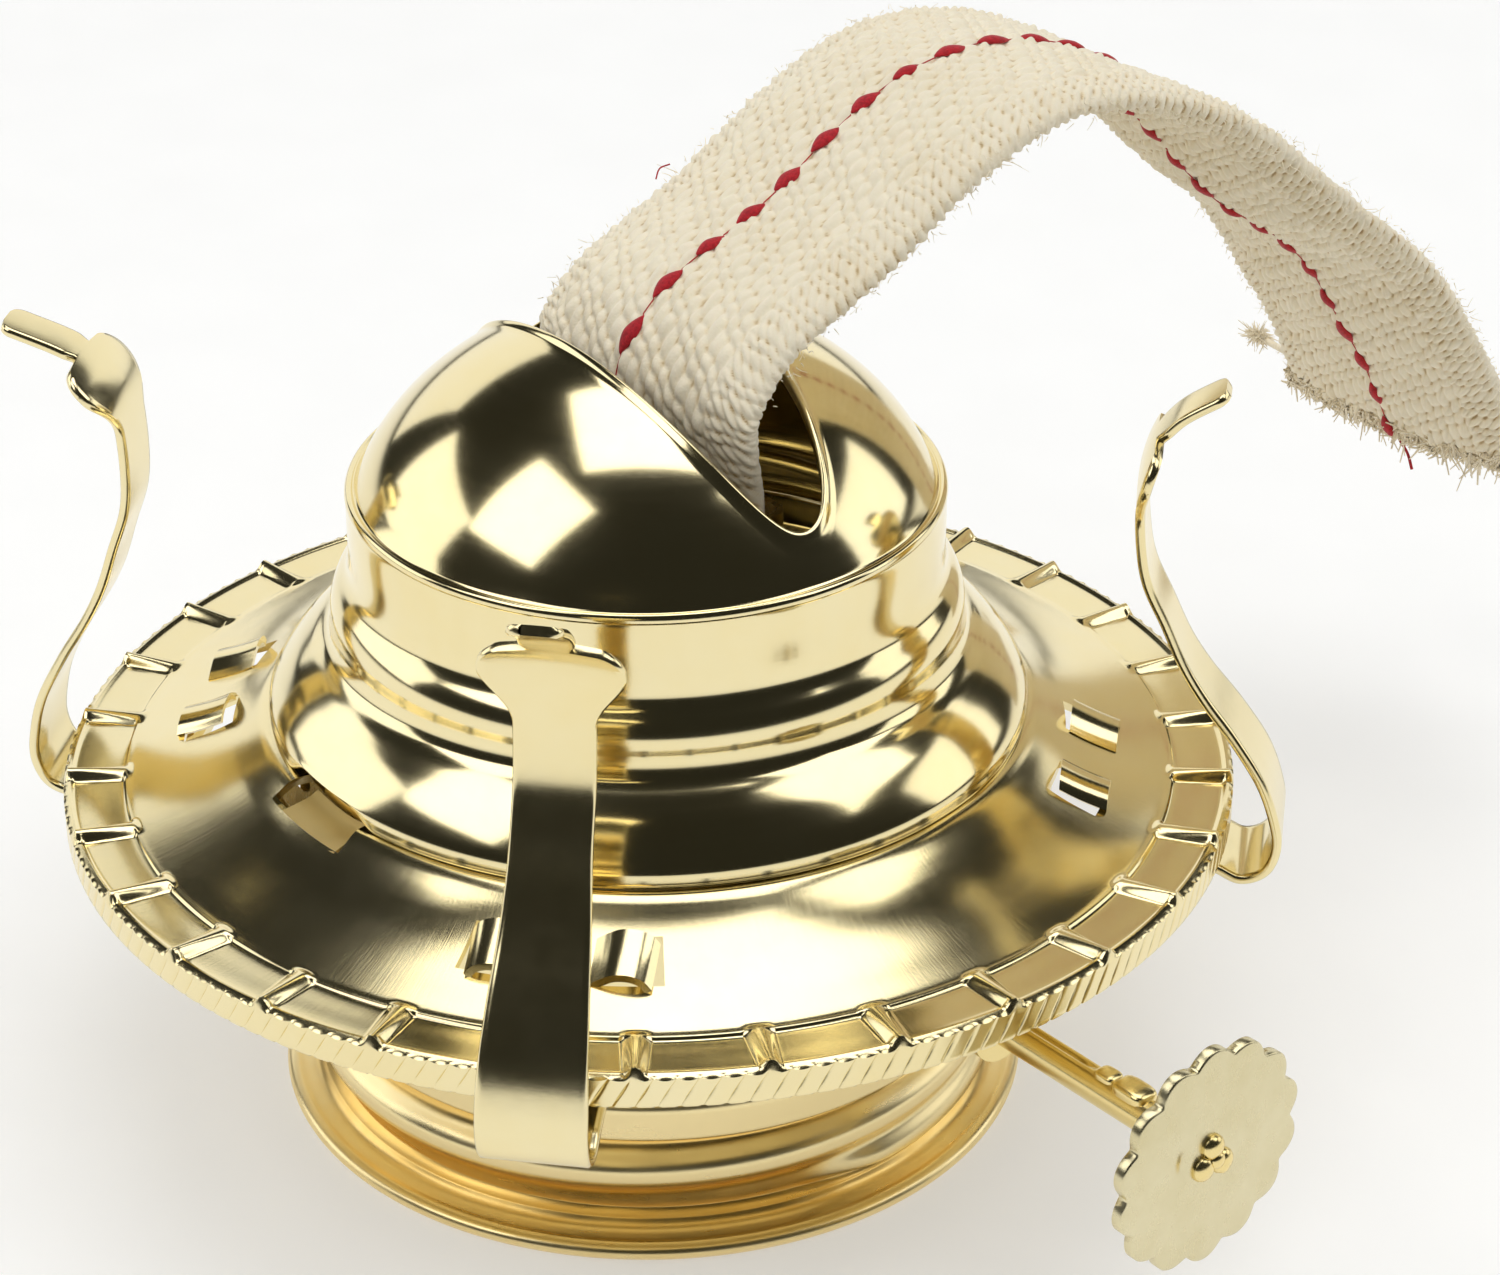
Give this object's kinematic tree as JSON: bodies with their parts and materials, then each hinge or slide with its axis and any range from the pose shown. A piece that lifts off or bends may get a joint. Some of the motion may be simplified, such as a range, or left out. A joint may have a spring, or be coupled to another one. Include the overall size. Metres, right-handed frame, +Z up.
{
  "type": "oil lamp burner",
  "caption": "Brass flat-wick oil lamp burner: screw collar, wick raiser with knob, ribbed chimney gallery with spring prongs, slotted dome and cotton wick.",
  "frame": {"origin": "centre of the collar's bottom face, on the thread's axis", "axes": "+Z up along the burner's axis, +X along the raiser shaft to the knob, +Y the way the wick leans"},
  "size_m": [0.0935, 0.1205, 0.0704],
  "materials": {
    "collar_brass": "satin orange brass, spun",
    "inner_brass": "plain stamped brass",
    "raiser_brass": "rolled sheet brass",
    "knob_brass": "polished stamped brass",
    "gallery_brass": "polished pale brass with fine brushing",
    "dome_brass": "polished pale brass, spun",
    "prong_brass": "polished spring brass",
    "wick_cotton": "woven cream cotton with a red stitched line"
  },
  "bodies": {
    "burner_base": {"screw_collar": "collar_brass", "base_disc": "inner_brass", "air_cup": "inner_brass", "wick_tube": "inner_brass", "vent_tube": "inner_brass", "ratchet_cover": "inner_brass", "draft_screen": "inner_brass", "shaft_sleeve": "inner_brass"},
    "wick_raiser": {"raiser_shaft": "raiser_brass", "spur_wheel_1": "raiser_brass", "spur_wheel_2": "raiser_brass", "spur_wheel_3": "raiser_brass", "spur_wheel_4": "raiser_brass", "shaft_washer": "raiser_brass", "knob": "knob_brass"},
    "gallery": {"gallery_plate": "gallery_brass", "dome": "dome_brass"},
    "spring_prong_1": {"prong_1": "prong_brass"},
    "spring_prong_2": {"prong_2": "prong_brass"},
    "spring_prong_3": {"prong_3": "prong_brass"},
    "spring_prong_4": {"prong_4": "prong_brass"},
    "wick_tape": {"wick": "wick_cotton"}
  },
  "joints": [
    {"name": "raiser_turn", "type": "hinge", "parent": "burner_base", "child": "wick_raiser", "pos_m": [0, 0.0044, 0.016], "axis": [-1, 0, 0], "range_deg": [0, 270]},
    {"name": "gallery_lift", "type": "slide", "parent": "burner_base", "child": "gallery", "axis": [0, 0, 1], "range_m": [0, 0.03]},
    {"name": "wick_feed", "type": "slide", "parent": "gallery", "child": "wick_tape", "axis": [0, 0, 1], "range_m": [0, 0.015]},
    {"name": "prong_flex_1", "type": "hinge", "parent": "gallery", "child": "spring_prong_1", "pos_m": [0.02604, 0.02263, 0.022], "axis": [-0.6561, 0.7547, 0], "range_deg": [-3, 10], "stiffness_Nm_per_rad": 0.4},
    {"name": "prong_flex_2", "type": "hinge", "parent": "gallery", "child": "spring_prong_2", "pos_m": [-0.02263, 0.02604, 0.022], "axis": [-0.7547, -0.6561, 0], "range_deg": [-3, 10], "stiffness_Nm_per_rad": 0.4},
    {"name": "prong_flex_3", "type": "hinge", "parent": "gallery", "child": "spring_prong_3", "pos_m": [-0.02604, -0.02263, 0.022], "axis": [0.6561, -0.7547, 0], "range_deg": [-3, 10], "stiffness_Nm_per_rad": 0.4},
    {"name": "prong_flex_4", "type": "hinge", "parent": "gallery", "child": "spring_prong_4", "pos_m": [0.02263, -0.02604, 0.022], "axis": [0.7547, 0.6561, 0], "range_deg": [-3, 10], "stiffness_Nm_per_rad": 0.4}
  ],
  "couplings": [
    {"joint": "wick_feed", "follows": "raiser_turn", "m_per_rad": 0.00315}
  ]
}
